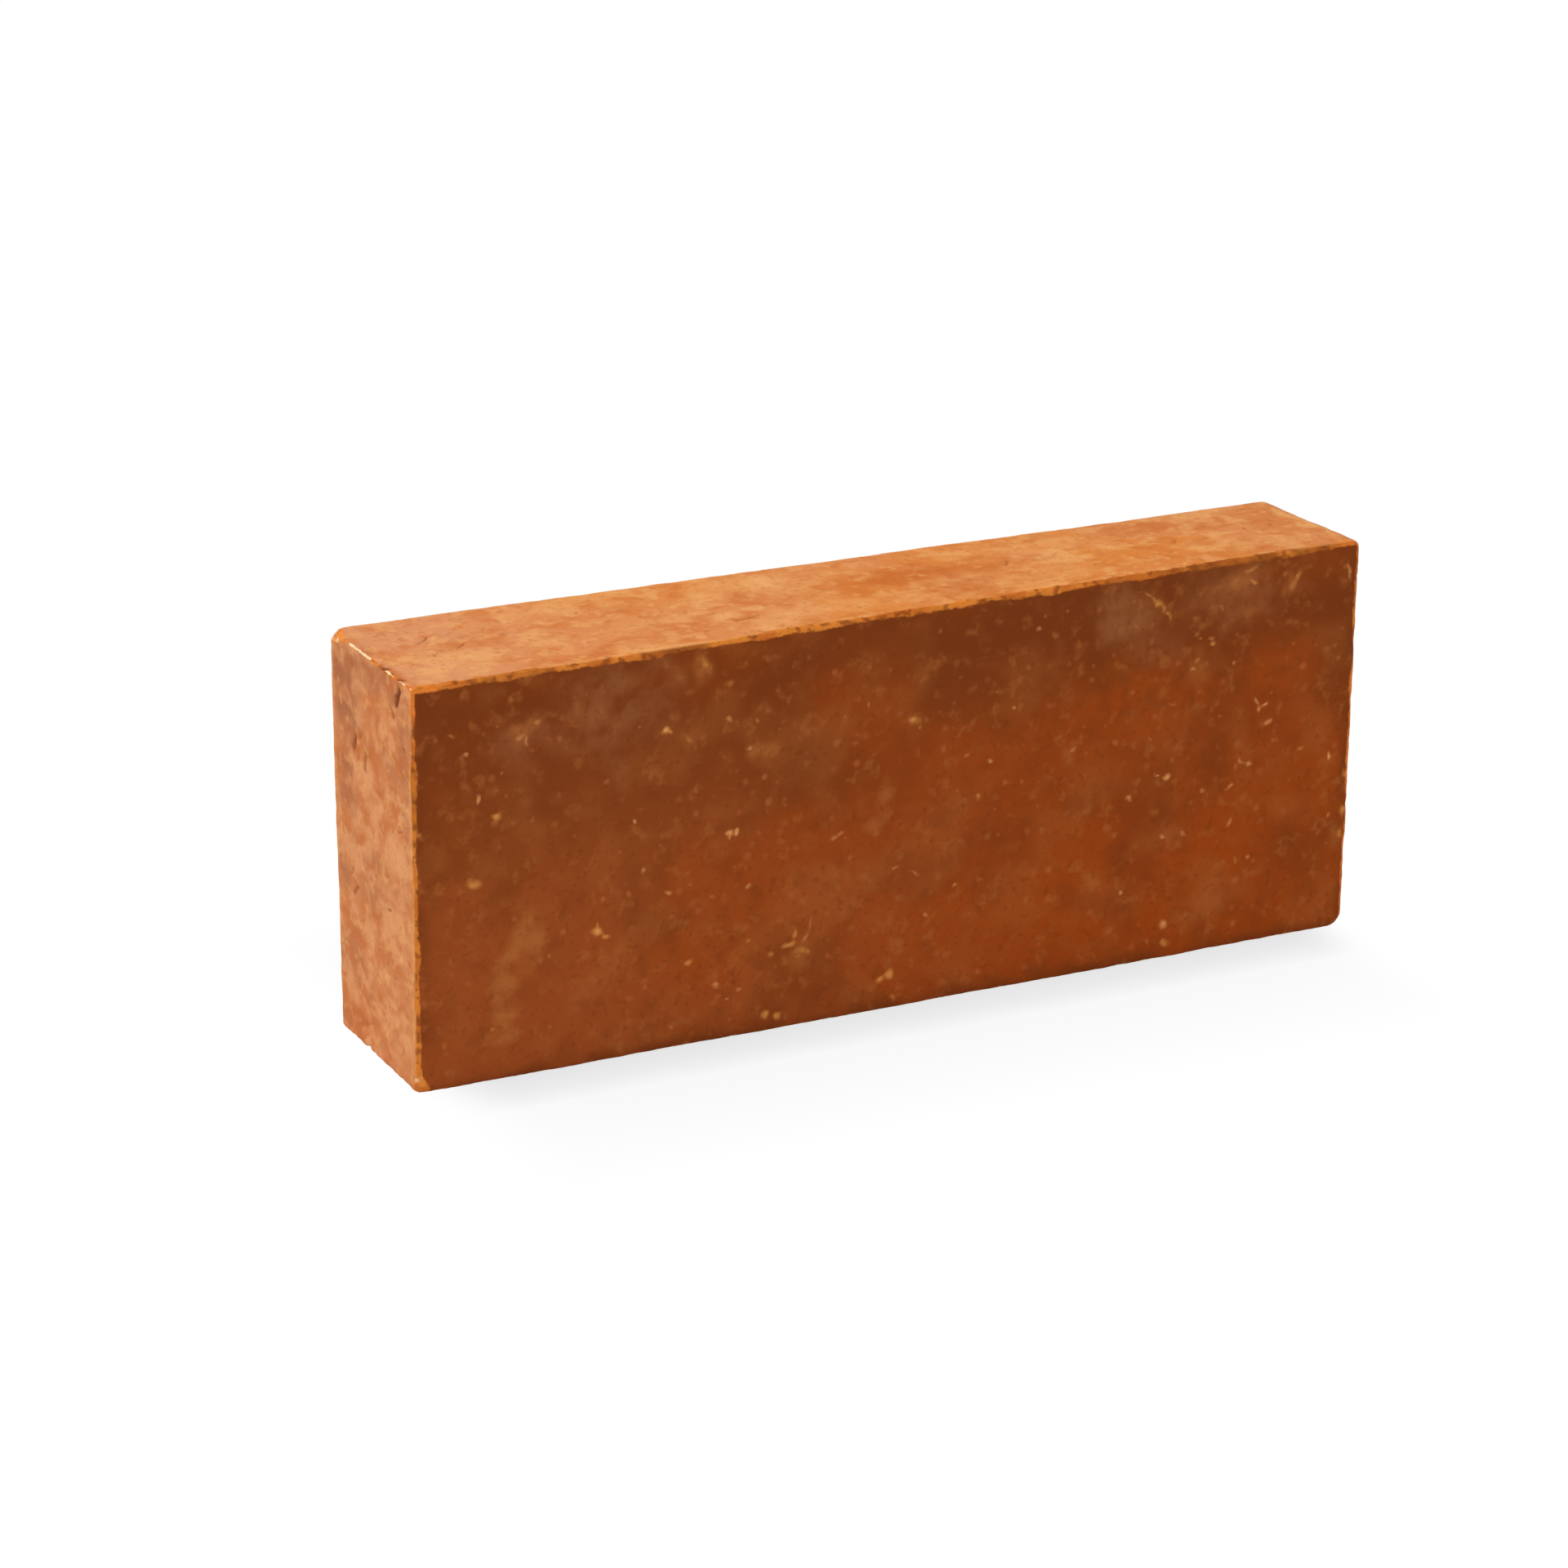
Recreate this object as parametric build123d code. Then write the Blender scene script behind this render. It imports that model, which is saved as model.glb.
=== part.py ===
from build123d import *
import os

# A solid fired clay brick, standing on its long narrow side.
# X runs along its length, Y through its thickness and Z up. The origin is the centre of its foot.
# It is made as the real one is: a rounded outline pushed through the thickness, cut off at the two
# bed faces, with the cut edges worn and two corners knocked off. All lengths are in millimetres.

# Overall size
length = 240.0
height = 95.0
thickness = 44.0

# Corners of the bed face's outline: the right end slumped rounder than the left in the kiln
left_top_radius = 0.8
left_bottom_radius = 1.0
right_top_radius = 2.2
right_bottom_radius = 4.0

# Worn edges round the front and the back bed face
front_arris_radius = 1.3
back_arris_radius = 1.0

# Corner knocked off at the foot of the front left edge, measured along each of its three edges
foot_chip_length = 3.0
foot_chip_depth = 2.1
foot_chip_height = 5.4

# Corner knocked off at the top of the back left edge
crown_chip_length = 2.4
crown_chip_depth = 9.0
crown_chip_height = 2.8


def bed_outline():
    """The bed face's outline: a rectangle with its own radius at each corner."""
    outline = Pos(0, height / 2) * Rectangle(length, height)
    corner_radii = {
        (-length / 2, 0): left_bottom_radius,
        (length / 2, 0): right_bottom_radius,
        (length / 2, height): right_top_radius,
        (-length / 2, height): left_top_radius,
    }
    for corner, radius in corner_radii.items():
        vertex = outline.vertices().sort_by_distance((*corner, 0))[0]
        outline = fillet(vertex, radius)
    return outline


def worn_column():
    """The outline pushed through the thickness, with the edges of both bed faces rounded."""
    column = extrude(Plane.XZ * bed_outline(), thickness / 2, both=True)
    front_edges = column.faces().sort_by(Axis.Y)[0].edges()
    column = fillet(front_edges, front_arris_radius)
    back_edges = column.faces().sort_by(Axis.Y)[-1].edges()
    return fillet(back_edges, back_arris_radius)


def knock_off(body, corner, setback):
    """Take one corner off along the flat that its three setbacks span."""
    along_x = corner + Vector(setback.X, 0, 0)
    along_y = corner + Vector(0, setback.Y, 0)
    along_z = corner + Vector(0, 0, setback.Z)
    normal = (along_y - along_x).cross(along_z - along_x)
    flat = Plane(origin=along_x, x_dir=along_y - along_x, z_dir=normal)
    corner_is_above = (corner - along_x).dot(normal) > 0
    return split(body, bisect_by=flat, keep=Keep.BOTTOM if corner_is_above else Keep.TOP)


def clay_brick():
    """The whole brick: the worn column less its two lost corners."""
    front_left_foot = Vector(-length / 2, -thickness / 2, 0)
    back_left_crown = Vector(-length / 2, thickness / 2, height)
    brick = worn_column()
    brick = knock_off(
        brick, front_left_foot, Vector(foot_chip_length, foot_chip_depth, foot_chip_height)
    )
    return knock_off(
        brick, back_left_crown, Vector(crown_chip_length, -crown_chip_depth, -crown_chip_height)
    )


os.makedirs("parts", exist_ok=True)
export_step(clay_brick(), "parts/clay_brick.step")
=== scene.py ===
# Dresses the packed clay brick: its worn skin, its fired colours, the camera and the light.
# The skin is sculpted and painted in millimetres, and everything that Blender holds is in metres.
import math

import bpy
import numpy as np
from mathutils import Matrix, Vector, noise


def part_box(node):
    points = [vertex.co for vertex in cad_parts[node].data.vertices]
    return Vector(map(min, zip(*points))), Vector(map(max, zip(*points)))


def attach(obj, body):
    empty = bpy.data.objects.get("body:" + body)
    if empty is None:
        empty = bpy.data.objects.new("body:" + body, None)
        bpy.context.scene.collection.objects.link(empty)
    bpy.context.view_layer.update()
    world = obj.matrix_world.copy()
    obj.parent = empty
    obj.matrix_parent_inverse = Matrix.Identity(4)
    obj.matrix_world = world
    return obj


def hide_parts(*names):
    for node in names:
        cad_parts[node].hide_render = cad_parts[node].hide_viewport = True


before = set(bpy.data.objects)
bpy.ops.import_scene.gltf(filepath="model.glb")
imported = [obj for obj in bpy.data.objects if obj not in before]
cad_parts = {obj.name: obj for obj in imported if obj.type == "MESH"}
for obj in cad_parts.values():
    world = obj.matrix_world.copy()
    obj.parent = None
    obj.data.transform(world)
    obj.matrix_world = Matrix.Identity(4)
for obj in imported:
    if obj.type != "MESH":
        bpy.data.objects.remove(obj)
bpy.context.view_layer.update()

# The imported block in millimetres, and its faces: the axis that each one is on, and the side of it
NODE = "clay_brick"
MM = 0.001
low, high = (np.array(corner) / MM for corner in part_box(NODE))
FACES = {"left": (0, -1), "right": (0, 1), "front": (1, -1), "back": (1, 1), "foot": (2, -1), "top": (2, 1)}

# Skin: the cells that it is sculpted in, the triangles that are left, and the rims that are kept whole
CELL = 0.5
TRIANGLES = 190_000
KEPT_RIM = 0.4

# How Blender keeps a value for each vertex, by how many numbers the value has
LAYER_KINDS = {1: ("FLOAT", "value"), 3: ("FLOAT_VECTOR", "vector"), 4: ("FLOAT_COLOR", "color")}

# Noise: how it fades and narrows from octave to octave, and how many octaves soft and rough noise have
NOISE_FADE, NOISE_STEP = 1.0, 2.0
SOFT, ROUGH = 2, 3

# Relief: the depth and the width of its features, and what the wear of the edges is made up of
SWELL_DEPTH, SWELL_WIDTH = 0.18, 34.0
BED_GRAIN_DEPTH, SIDE_GRAIN_DEPTH, GRAIN_WIDTH = 0.05, 0.11, 4.0
PIT_DEPTH, PIT_RADIUS, PIT_SPACING = 0.25, 0.7, 9.0
BITE_WIDTH, CRUMB_WIDTH, WEAR_REACH = 6.0, 1.4, 1.5
WEAR_BASE, BITE_SHARE, CRUMB_SHARE = 0.25, 0.8, 0.5

# Each edge: how wide its bare rim is, how deep it has crumbled, and how wide its cream crest, a painted
# highlight, is
EDGES = {
    ("front", "top"): (1.25, 0.4, 0.0), ("front", "left"): (0.95, 0.22, 0.0),
    ("front", "right"): (1.15, 0.4, 0.0), ("front", "foot"): (0.25, 0.2, 0.0),
    ("left", "top"): (0.6, 0.2, 0.54), ("left", "foot"): (0.5, 0.2, 0.0),
    ("right", "top"): (1.0, 0.4, 1.1), ("right", "foot"): (0.6, 0.25, 0.0),
    ("back", "top"): (0.9, 0.25, 0.0), ("back", "left"): (0.8, 0.2, 0.0),
    ("back", "right"): (0.8, 0.3, 0.0), ("back", "foot"): (0.3, 0.2, 0.0),
}

# Rims: how far and over what width they wander, and where they turn pale off the beds, a painted highlight
# on their lit side
RIM_SWAY, RIM_SWAY_WIDTH, RIM_HIGHLIGHT_SPAN = 0.27, 9.0, (0.2, 0.9)

# Cream crests, a painted highlight along the edges: the width of the noise that breaks them up, and where
# they start and are full in it
HIGHLIGHT_CREST_WIDTH, HIGHLIGHT_CREST_SPAN = 3.4, (-0.75, 0.05)

# Corners knocked off: how far each one goes along X, Y and Z, and how softly its colour ends
CHIPS = {
    ("left", "front", "foot"): (3.0, 2.1, 5.4),
    ("left", "back", "top"): (2.4, 9.0, 2.8),
}
CHIP_FADE = 0.5

# Dents, slits and scratches: the face, both ends on it, the radius, and the depth below the face
STROKES = [
    ("left", (-15.2, 92.4), (-12.9, 88.7), 1.4, 0.95),
    ("left", (9.0, 74.0), (10.0, 70.8), 1.8, 0.5),
    ("left", (3.9, 71.2), (4.3, 67.8), 1.7, 0.45),
    ("left", (5.6, 75.2), (6.2, 74.0), 1.2, 0.3),
    ("left", (10.4, 90.9), (9.8, 89.6), 1.2, 0.32),
    ("left", (10.2, 38.0), (12.2, 35.4), 1.4, 0.42),
    ("left", (12.2, 41.6), (13.6, 39.8), 1.0, 0.4),
    ("left", (-6.2, 38.4), (-8.4, 39.1), 0.8, 0.45),
    ("left", (-6.4, 46.4), (-8.2, 46.9), 0.7, 0.4),
    ("left", (-14.2, 59.6), (-15.8, 60.1), 0.8, 0.4),
    ("left", (-10.6, 23.8), (-12.2, 24.2), 0.8, 0.4),
    ("left", (-17.6, 30.6), (-18.8, 29.6), 0.9, 0.5),
    ("left", (10.2, 4.7), (3.4, 7.3), 1.2, 0.28),
    ("left", (-0.8, 4.2), (-1.8, 3.0), 1.5, 0.32),
    ("left", (-11.6, 86.0), (-12.4, 84.8), 1.2, 0.4),
    ("left", (-16.4, 80.8), (-17.6, 79.8), 1.2, 0.35),
    ("left", (8.0, 71.6), (8.3, 61.0), 1.0, -0.3),
    ("top", (-120.0, -5.6), (-118.6, -7.6), 1.2, 0.8),
    ("top", (-120.0, -13.4), (-119.0, -15.0), 1.1, 0.7),
    ("top", (-106.5, 4.5), (-102.6, 8.2), 0.9, 0.46),
    ("top", (-106.0, 3.4), (-100.6, 7.0), 1.0, -0.5),
    ("top", (-100.5, -2.0), (-97.8, 0.8), 0.9, 0.4),
    ("top", (-106.9, -4.2), (-106.1, -3.4), 0.8, 0.4),
    ("top", (-90.0, 7.2), (-89.3, 8.2), 0.7, 0.4),
    ("top", (-88.8, 0.8), (-86.8, 5.0), 0.8, -0.35),
    ("top", (-66.6, 9.6), (-65.4, 11.2), 0.8, 0.5),
    ("top", (-48.6, -19.5), (-47.2, -14.5), 0.9, -0.4),
    ("top", (-50.6, -18.5), (-50.0, -16.0), 0.8, 0.4),
    ("top", (-44.6, -1.0), (-43.6, 1.0), 0.7, 0.35),
    ("top", (-36.6, -10.2), (-31.0, -9.0), 1.4, 0.35),
    ("top", (-29.4, -18.2), (-28.6, -17.4), 0.9, 0.4),
    ("top", (21.6, -16.0), (22.6, -13.8), 0.8, 0.35),
    ("top", (37.0, -0.5), (39.0, 3.0), 0.9, 0.4),
    ("top", (44.6, -11.6), (46.6, -9.4), 0.8, -0.25),
    ("top", (66.8, -8.2), (68.2, -5.8), 0.8, -0.25),
    ("top", (76.0, -8.4), (77.2, -7.6), 0.8, 0.4),
    ("top", (80.4, -2.5), (81.8, 0.0), 0.8, 0.35),
    ("top", (90.4, -8.8), (93.4, -8.2), 0.8, 0.35),
    ("top", (101.4, 0.8), (102.6, 2.4), 0.8, 0.45),
    ("top", (108.4, 0.8), (109.6, 2.2), 0.8, 0.4),
    ("front", (7.0, 93.7), (9.4, 93.0), 0.7, 0.5),
    ("front", (12.4, 93.8), (13.6, 93.3), 0.7, 0.5),
    ("front", (21.6, 94.2), (23.0, 93.8), 0.7, 0.5),
    ("front", (26.4, 93.8), (27.6, 93.2), 0.7, 0.5),
    ("front", (33.4, 93.8), (35.0, 93.2), 0.7, 0.5),
    ("front", (-62.0, 93.6), (-49.0, 93.8), 0.7, 0.35),
    ("front", (-119.4, 75.6), (-119.2, 74.4), 0.8, 0.5),
    ("front", (-119.4, 48.6), (-119.2, 47.4), 0.8, 0.5),
    ("front", (-119.4, 37.2), (-119.2, 36.0), 0.8, 0.5),
    ("front", (-119.4, 30.6), (-119.2, 29.2), 0.8, 0.5),
    ("front", (119.2, 35.5), (119.3, 33.5), 1.0, 0.5),
    ("front", (119.2, 26.4), (119.3, 25.0), 1.0, 0.5),
    ("front", (119.0, 14.6), (119.2, 12.4), 1.0, 0.5),
]

# How far the kiln pulled each corner along X and Z, for the left or right, back or front corner
TOP_WARP = {(-1, 1): (-0.9, 0.15), (1, 1): (0.95, -1.25), (1, -1): (-0.65, 1.65), (-1, -1): (0.35, -0.6)}
FOOT_WARP = {(-1, 1): (0.5, 0.0), (1, 1): (0.0, 0.0), (1, -1): (-0.65, 0.0), (-1, -1): (0.45, 0.0)}

# Camera, turned about the centre of the foot: its angles, its place, and its lens and sensor
CAMERA_AZIMUTH, CAMERA_ELEVATION, CAMERA_ROLL = 333.162, 20.223, 0.710
CAMERA_DISTANCE, CAMERA_SIDEWAYS, CAMERA_RISE = 1.21468, -0.016583, 0.044224
CAMERA_LENS, CAMERA_SENSOR = 119.89, 36.0

# Light and floor: an even sky, one large lamp off the left end, and a pale floor
SKY_STRENGTH = 0.6
LAMP_POWER, LAMP_SIZE, LAMP_DISTANCE, LAMP_ELEVATION = 15.0, 1.3, 1.7, 62.0
FLOOR_SIZE, FLOOR_COLOUR, WHITE = 6.0, (0.85, 0.85, 0.86, 1), (1, 1, 1, 1)

# Shadow on the floor along the two beds: the reach and the share of its near and its far part, how
# its rays lean and how many there are, and where it starts and is full from the left and the right end
SHADOWS = [(0.0165, 0.22), (0.06, 0.11)]
SHADOW_LEAN, SHADOW_TURN, SHADOW_RISE, SHADOW_RAYS = 0.9, 0.2, 0.4, 1
SHADOW_LEFT, SHADOW_RIGHT = (0.0, 22.0), (3.0, -15.0)


def light_share(level):
    """The share of light that a level of 0 to 255 stands for on a screen, by the curve of sRGB."""
    share = level / 255
    return share / 12.92 if share <= 0.04045 else ((share + 0.055) / 1.055) ** 2.4


def srgb(red, green, blue):
    """A colour as it is seen on a screen, turned into the light that it reflects."""
    return (light_share(red), light_share(green), light_share(blue), 1)


# Fired colours, with the painted highlights of the cream and the rims and the painted shade of the hollows
BED_BROWN, BED_RED, BED_DEEP = srgb(164, 80, 34), srgb(167, 73, 20), srgb(128, 61, 23)
BED_HAZE, BED_DUST, BED_SPECK = srgb(161, 96, 55), srgb(184, 108, 53), srgb(206, 122, 68)
SIDE_ORANGE, SIDE_PINK, SIDE_PALE = srgb(219, 131, 60), srgb(217, 144, 97), srgb(236, 171, 105)
SIDE_RUST, SIDE_BROWN = srgb(202, 110, 47), srgb(186, 108, 62)
END_PINK, END_PALE = srgb(212, 135, 85), srgb(230, 159, 107)
END_RUST, END_BROWN = srgb(202, 115, 62), srgb(178, 109, 71)
RIM_OCHRE, RIM_RUST, RIM_BROWN = srgb(222, 130, 50), srgb(200, 104, 38), srgb(140, 70, 26)
# The orange and the pale of the rims on the next line are painted highlights
RIM_ORANGE_HIGHLIGHT, RIM_HIGHLIGHT = srgb(238, 126, 50), srgb(240, 168, 100)
# The cream on the next line is a painted highlight along edge crests and on knocked-off corners
HIGHLIGHT_CREAM, FLECK_PEACH, FLECK_OCHRE = srgb(250, 222, 176), srgb(243, 168, 100), srgb(224, 146, 72)
# The hollow colour on the next line is painted shade for the dents and scratches
CHIP_ORANGE, HOLLOW_SHADE = srgb(232, 142, 64), srgb(132, 68, 30)

# Patches: the colour, their width, the noise at which they start and are full, the strength
BED_PATCHES = [
    (BED_RED, 40.0, -0.20, 0.50, 0.45),
    (BED_DEEP, 24.0, -0.10, 0.60, 0.45),
    (BED_DUST, 13.0, 0.00, 0.60, 0.20),
    (BED_DEEP, 6.0, 0.10, 0.55, 0.28),
    (BED_DUST, 4.2, 0.15, 0.55, 0.12),
]
SIDE_PATCHES = [
    (SIDE_PINK, 36.0, -0.10, 0.50, 0.50),
    (SIDE_PALE, 13.0, 0.05, 0.50, 0.40),
    (SIDE_RUST, 10.0, 0.08, 0.50, 0.40),
    (SIDE_PALE, 5.0, 0.12, 0.45, 0.45),
    (SIDE_RUST, 3.6, 0.18, 0.50, 0.50),
]
END_PATCHES = [
    (END_BROWN, 17.0, 0.05, 0.35, 0.50),
    (END_RUST, 9.0, 0.08, 0.28, 0.70),
    (END_PALE, 7.0, 0.10, 0.30, 0.70),
    (END_RUST, 3.6, 0.15, 0.35, 0.55),
    (END_PALE, 2.8, 0.20, 0.40, 0.50),
]
RIM_PATCHES = [(RIM_RUST, 7.0, -0.10, 0.30, 0.80), (RIM_BROWN, 1.9, 0.12, 0.36, 0.75)]
# The cream patches on the knocked-off corners are a painted highlight
CHIP_PATCHES = [(RIM_RUST, 4.0, 0.00, 0.30, 0.70), (HIGHLIGHT_CREAM, 2.6, 0.10, 0.35, 0.80)]

# How patches are drawn out along X, Y and Z: the lower the number, the longer they are
SIDE_STRETCH, END_STRETCH = (0.7, 0.8, 1.0), (1.0, 0.55, 1.0)

# Where colours start and are full: deep up the beds, which is painted shade that leaves the foot lighter as
# if lit from the floor, red and pink along the brick, and the ends
BED_SHADE_SPAN, RED_SPAN = (20.0, 95.0), (-70.0, 60.0)
PINK_SPAN, END_SPAN = (-60.0, -112.0), (117.0, 119.0)

# Borders: beds are deeper beside their edges, and sides paler beside the beds, which is a painted
# highlight, from this far in, in stretches
BED_BORDER, BED_BORDER_STRENGTH = (3.6, 1.2), 0.75
SIDE_HIGHLIGHT_BORDER, SIDE_HIGHLIGHT_STRENGTH = (2.4, 1.3), 0.35
BORDER_WIDTH, BORDER_SPAN = 11.0, (-0.4, 0.25)

# Marks on the faces, soft veils and small flecks. Each row is one mark: its place on the face,
# half its length and half its width, its tilt in degrees and its strength
BED_VEILS = [
    (BED_RED, [(62, 62, 34, 18, 0, 0.8), (99, 66, 18, 14, 0, 0.8), (24, 60, 26, 14, 0, 0.5)]),
    (BED_HAZE, [
        (-73, 83, 21, 13, 5, 0.75), (-72, 70, 6, 7, 0, 0.5), (-94, 79, 10, 8, 20, 0.6),
        (57, 86, 13, 11, 0, 0.8), (65, 77, 11, 9, 0, 0.4), (85, 86, 20, 11, 0, 0.5),
        (-60, 88, 8, 6, 0, 0.5),
    ]),
    (BED_DUST, [
        (-93, 33.5, 7, 4.4, 60, 0.85), (-96.5, 28, 6, 4.2, 50, 0.9), (-94, 27, 4, 3, 60, 0.5),
        (-98.5, 21.5, 5, 3.2, 65, 0.75), (-100, 15.5, 4.4, 4.6, 40, 0.85),
        (-98.6, 11.5, 4, 3, 30, 0.7), (-36, 68.5, 6, 4, 10, 0.7), (-50, 90, 3.4, 4.6, 25, 0.6),
        (-94, 80, 5, 4, 40, 0.6), (-5.6, 53, 2.6, 4.6, -25, 0.75), (-6.3, 47, 4, 2.8, 30, 0.5),
        (44, 55, 4, 3, 40, 0.5), (80, 12, 12, 9, 0, 0.35), (87, 89, 6, 5, 0, 0.6),
        (102.3, 87.6, 6, 3, 58, 0.65), (76, 71, 6, 6, 0, 0.35), (-25, 18, 6, 4.5, 0, 0.45),
        (117, 23, 4, 7, 0, 0.5), (72, 31, 9, 5, 0, 0.35), (-70, 25, 8, 4, 60, 0.3),
        (-54, 73, 5, 3, -15, 0.4),
    ]),
    (BED_DEEP, [
        (-113, 82, 13, 22, 0, 0.7), (-117.5, 45, 5, 60, 0, 0.5), (-8, 90, 44, 12, 0, 0.6),
        (-45.5, 88, 5, 4, 0, 0.8), (118, 75, 6, 34, 0, 0.45), (118.5, 40, 4, 40, 0, 0.5),
        (0, 1, 150, 6, 0, 0.5), (104, 20, 20, 18, 0, 0.3), (77, 79, 7, 5, 0, 0.35),
    ]),
]
OCHRE_FLECKS = [
    (-100.4, 62.6, 1.2, 1.0, 30, 1.0), (-105.6, 47.8, 2.2, 1.1, -15, 0.9),
    (-76.6, 31.7, 1.2, 1.1, 0, 1.0), (-74.4, 30.3, 1.4, 0.6, -15, 0.9), (-76.4, 33.0, 0.5, 0.9, 0, 0.8),
    (-59.6, 76.5, 1.0, 0.9, -40, 1.0), (-58.6, 75.6, 0.9, 0.5, -40, 0.85),
    (-110.9, 83.0, 1.2, 0.8, 0, 0.75), (-90.6, 83.1, 0.9, 0.6, 20, 0.8),
    (-54.1, 73.2, 2.0, 1.1, -20, 0.62), (-49.9, 90.0, 1.8, 3.0, 25, 0.66),
    (-44.1, 84.6, 1.0, 0.8, 0, 0.65), (-53.9, 20.3, 1.1, 0.8, 0, 0.8), (-38.9, 23.0, 0.6, 0.5, 0, 0.75),
    (-28.6, 20.2, 1.8, 0.7, 5, 0.95), (-27.4, 22.4, 0.6, 1.6, -10, 0.85),
    (-33.2, 18.6, 1.0, 0.8, 20, 0.75), (-25.6, 18.1, 1.6, 1.1, 10, 0.75),
    (-23.9, 17.8, 1.0, 0.9, 0, 0.7), (-34.5, 4.2, 1.3, 0.9, 0, 0.95), (-31.3, 3.3, 1.1, 0.9, 20, 0.95),
    (-5.2, 7.6, 1.1, 0.9, 30, 1.0), (-2.9, 8.7, 1.2, 1.0, 20, 1.0), (2.6, 69.0, 1.3, 1.0, 0, 0.9),
    (3.8, 67.2, 0.5, 0.7, 0, 0.7), (-9.1, 74.2, 0.5, 1.2, 0, 0.65), (-1.8, 2.8, 0.7, 1.1, 0, 0.75),
    (60.6, 90.9, 1.2, 0.4, -5, 0.7), (62.4, 89.9, 1.4, 0.4, -45, 0.75),
    (64.2, 88.3, 1.4, 0.6, -40, 0.8), (65.6, 87.3, 1.2, 0.8, -10, 0.85),
    (66.8, 85.8, 1.2, 0.5, -65, 0.75), (68.1, 84.5, 1.1, 0.5, -20, 0.75),
    (68.6, 83.3, 0.4, 0.8, 0, 0.7), (90.9, 88.9, 1.2, 0.5, -30, 0.8), (86.6, 89.4, 2.0, 2.2, 0, 0.6),
    (90.3, 92.2, 2.4, 0.6, 18, 0.75), (102.3, 87.6, 3.4, 0.9, 58, 0.68),
    (80.0, 77.0, 1.3, 0.4, -5, 0.8), (80.4, 75.7, 1.0, 0.5, -20, 0.85),
    (76.9, 77.3, 0.9, 0.4, -10, 0.7), (70.5, 62.6, 1.3, 0.5, -5, 0.62), (48.4, 74.9, 0.5, 0.8, 0, 0.68),
    (70.5, 3.9, 1.2, 1.0, 0, 0.75), (89.1, 21.4, 0.8, 1.3, 0, 0.62), (105.9, 46.4, 1.2, 0.6, 0, 0.7),
    (-118.6, 61.0, 0.8, 1.0, 0, 0.7), (118.0, 23.4, 1.2, 1.4, 0, 0.8), (118.4, 29.4, 0.9, 1.8, 0, 0.8),
    (118.4, 39.0, 0.6, 1.6, 0, 0.7),
]
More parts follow.
